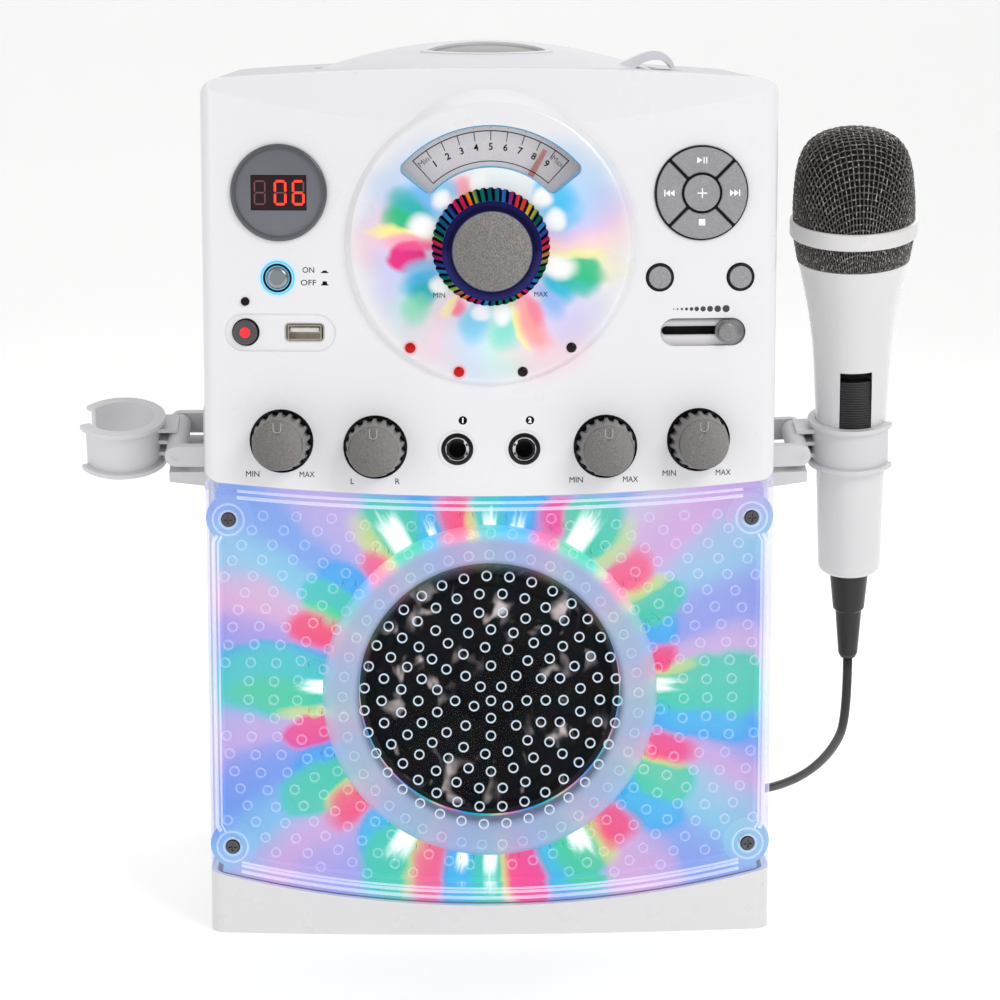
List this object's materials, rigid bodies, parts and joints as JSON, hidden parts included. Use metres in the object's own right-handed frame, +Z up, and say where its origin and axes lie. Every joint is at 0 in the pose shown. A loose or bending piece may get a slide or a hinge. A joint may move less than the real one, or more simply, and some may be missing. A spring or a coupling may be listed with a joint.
{
  "type": "karaoke machine",
  "caption": "Upright tabletop karaoke machine with a hinged top disc lid, control panel, lit speaker behind a clear front, side microphone rings and a corded microphone.",
  "frame": {"origin": "on the flat underside of the base, below the middle of the cabinet", "axes": "+Z up, -Y out of the front panel, +X to the right seen from the front"},
  "size_m": [0.3386, 0.304, 0.3519],
  "materials": {
    "cabinet_white": "satin moulded white",
    "cover_grey": "satin moulded light grey",
    "panel_white": null,
    "plinth_white": "glossy moulded white",
    "lid_white": "satin moulded white",
    "window_clear": "clear acrylic",
    "foot_rubber": "matt",
    "clear_front": "clear acrylic with moulded bumps",
    "screw_steel": "plated",
    "pin_steel": "plain",
    "reflector_grey": "frosted reflective",
    "ring_frosted": "frosted light grey",
    "board_green": "circuit board",
    "lamp_clear": "clear lamp bodies",
    "basket_black": "pressed steel, black",
    "cone_black": "doped paper",
    "bezel_grey": "dark grey",
    "display_red": "smoked digit window",
    "dial_grey": null,
    "dial_clear": "smoked clear scale",
    "knob_metal": "speckled metallic cap",
    "pointer_red": "red",
    "knob_grey": "knurled grey",
    "button_grey": "satin grey",
    "slider_grey": "satin grey",
    "power_metal": "domed metallic",
    "record_grey": "dark grey with a red dot",
    "usb_chrome": "plated shell",
    "jack_black": "black body",
    "led_red": "coloured lens",
    "well_black": "moulded dark",
    "motor_steel": "pressed steel",
    "hub_black": "moulded dark",
    "disc_mirror": "blank optical disc",
    "pickup_black": "moulded dark",
    "clip_grey": "satin moulded light grey",
    "mic_white": "glossy white",
    "switch_black": "ribbed black",
    "band_white": "glossy white",
    "mesh_black": "woven steel mesh",
    "capsule_black": "foam and capsule",
    "relief_rubber": "ribbed",
    "cable_black": "satin",
    "plug_black": "moulded handle",
    "socket_black": "black inserts"
  },
  "bodies": {
    "cabinet": {"base_plinth": "plinth_white", "clear_grille": "clear_front", "control_board": "board_green", "control_panel": "panel_white", "disc_motor": "motor_steel", "disc_well": "well_black", "display_bezel": "bezel_grey", "display_module": "display_red", "grille_screws": "screw_steel", "holder_brackets": "cabinet_white", "holder_pins": "pin_steel", "indicator_leds": "led_red", "led_lamps": "lamp_clear", "led_ring_board": "board_green", "light_reflector": "reflector_grey", "main_board": "board_green", "mic_cable": "cable_black", "mic_cable_coil": "cable_black", "mic_jacks": "jack_black", "mic_plug": "plug_black", "rear_cabinet": "cabinet_white", "rear_sockets": "socket_black", "right_mic_clip": "clip_grey", "rubber_feet": "foot_rubber", "speaker_basket": "basket_black", "speaker_cone": "cone_black", "speaker_ring": "ring_frosted", "top_cover": "cover_grey", "usb_port": "usb_chrome", "volume_dial_plate": "dial_grey", "volume_dial_window": "dial_clear"},
    "disc_lid": {"lid_shell": "lid_white", "lid_window": "window_clear"},
    "disc_spindle": {"disc_hub": "hub_black", "karaoke_disc": "disc_mirror"},
    "pickup_sled": {"laser_pickup": "pickup_black"},
    "volume_knob": {"volume_knob": "knob_metal"},
    "volume_pointer": {"volume_pointer": "pointer_red"},
    "voice_knob": {"voice_knob": "knob_grey"},
    "balance_knob": {"balance_knob": "knob_grey"},
    "echo_knob": {"echo_knob": "knob_grey"},
    "mic_level_knob": {"mic_level_knob": "knob_grey"},
    "light_slider": {"light_slider": "slider_grey"},
    "power_button": {"power_button": "power_metal"},
    "record_button": {"record_button": "record_grey"},
    "play_button": {"play_button": "button_grey"},
    "back_button": {"back_button": "button_grey"},
    "forward_button": {"forward_button": "button_grey"},
    "stop_button": {"stop_button": "button_grey"},
    "skip_button": {"skip_button": "button_grey"},
    "source_button": {"source_button": "button_grey"},
    "repeat_button": {"repeat_button": "button_grey"},
    "left_mic_clip": {"left_mic_clip": "clip_grey"},
    "microphone": {"mic_handle": "mic_white", "mic_band": "band_white", "mic_grille": "mesh_black", "mic_capsule": "capsule_black", "mic_strain_relief": "relief_rubber"},
    "mic_switch": {"mic_switch": "switch_black"}
  },
  "joints": [
    {"name": "lid_hinge", "type": "hinge", "parent": "cabinet", "child": "disc_lid", "pos_m": [0, 0.0865, 0.3396], "axis": [-1, 0, 0], "range_deg": [0, 78]},
    {"name": "disc_spin", "type": "hinge", "parent": "cabinet", "child": "disc_spindle", "pos_m": [0, 0.008, 0.33], "axis": [0, 0, 1], "continuous": true},
    {"name": "pickup_travel", "type": "slide", "parent": "cabinet", "child": "pickup_sled", "axis": [0, -1, 0], "range_m": [-0.006, 0.03]},
    {"name": "volume_turn", "type": "hinge", "parent": "cabinet", "child": "volume_knob", "pos_m": [0, -0.1, 0.2743], "axis": [0, 1, 0], "range_deg": [-238, 41]},
    {"name": "volume_pointer_turn", "type": "hinge", "parent": "cabinet", "child": "volume_pointer", "pos_m": [0, -0.0985, 0.2743], "axis": [0, 1, 0], "range_deg": [-72.3, 12.5]},
    {"name": "voice_turn", "type": "hinge", "parent": "cabinet", "child": "voice_knob", "pos_m": [-0.0814, -0.09672, 0.1984], "axis": [0.0803, 0.9968, 0], "range_deg": [-140, 140]},
    {"name": "balance_turn", "type": "hinge", "parent": "cabinet", "child": "balance_knob", "pos_m": [-0.0449, -0.099, 0.1962], "axis": [0.0444, 0.999, 0], "range_deg": [-140, 140]},
    {"name": "echo_turn", "type": "hinge", "parent": "cabinet", "child": "echo_knob", "pos_m": [0.0447, -0.09901, 0.1962], "axis": [-0.0442, 0.999, 0], "range_deg": [-140, 140]},
    {"name": "mic_level_turn", "type": "hinge", "parent": "cabinet", "child": "mic_level_knob", "pos_m": [0.0812, -0.09674, 0.1984], "axis": [-0.0801, 0.9968, 0], "range_deg": [-140, 140]},
    {"name": "light_slide", "type": "slide", "parent": "cabinet", "child": "light_slider", "axis": [0.9959, 0.0902, 0], "range_m": [-0.0208, 0.0024]},
    {"name": "power_press", "type": "slide", "parent": "cabinet", "child": "power_button", "axis": [0.081, 0.9967, 0], "range_m": [0, 0.0008], "stiffness_N_per_m": 300, "springref_m": -0.001},
    {"name": "record_press", "type": "slide", "parent": "cabinet", "child": "record_button", "axis": [0.0936, 0.9956, 0], "range_m": [0, 0.0008], "stiffness_N_per_m": 300, "springref_m": -0.001},
    {"name": "play_press", "type": "slide", "parent": "cabinet", "child": "play_button", "axis": [-0.0803, 0.9968, 0], "range_m": [0, 0.0008], "stiffness_N_per_m": 300, "springref_m": -0.001},
    {"name": "back_press", "type": "slide", "parent": "cabinet", "child": "back_button", "axis": [-0.0803, 0.9968, 0], "range_m": [0, 0.0008], "stiffness_N_per_m": 300, "springref_m": -0.001},
    {"name": "forward_press", "type": "slide", "parent": "cabinet", "child": "forward_button", "axis": [-0.0803, 0.9968, 0], "range_m": [0, 0.0008], "stiffness_N_per_m": 300, "springref_m": -0.001},
    {"name": "stop_press", "type": "slide", "parent": "cabinet", "child": "stop_button", "axis": [-0.0803, 0.9968, 0], "range_m": [0, 0.0008], "stiffness_N_per_m": 300, "springref_m": -0.001},
    {"name": "skip_press", "type": "slide", "parent": "cabinet", "child": "skip_button", "axis": [-0.0803, 0.9968, 0], "range_m": [0, 0.0008], "stiffness_N_per_m": 300, "springref_m": -0.001},
    {"name": "source_press", "type": "slide", "parent": "cabinet", "child": "source_button", "axis": [-0.0647, 0.9979, 0], "range_m": [0, 0.0008], "stiffness_N_per_m": 300, "springref_m": -0.001},
    {"name": "repeat_press", "type": "slide", "parent": "cabinet", "child": "repeat_button", "axis": [-0.0955, 0.9954, 0], "range_m": [0, 0.0008], "stiffness_N_per_m": 300, "springref_m": -0.001},
    {"name": "left_clip_fold", "type": "hinge", "parent": "cabinet", "child": "left_mic_clip", "pos_m": [-0.1265, -0.02984, 0.19053], "axis": [0, 0.9483, 0.3173], "range_deg": [0, 85]},
    {"name": "mic_lift", "type": "slide", "parent": "cabinet", "child": "microphone", "axis": [-0.034, -0.2163, 0.9757], "range_m": [0, 0.1]},
    {"name": "mic_switch_slide", "type": "slide", "parent": "microphone", "child": "mic_switch", "axis": [-0.034, -0.2163, 0.9757], "range_m": [0, 0.003]}
  ],
  "couplings": [
    {"joint": "volume_pointer_turn", "follows": "volume_turn", "ratio": 0.3036}
  ]
}
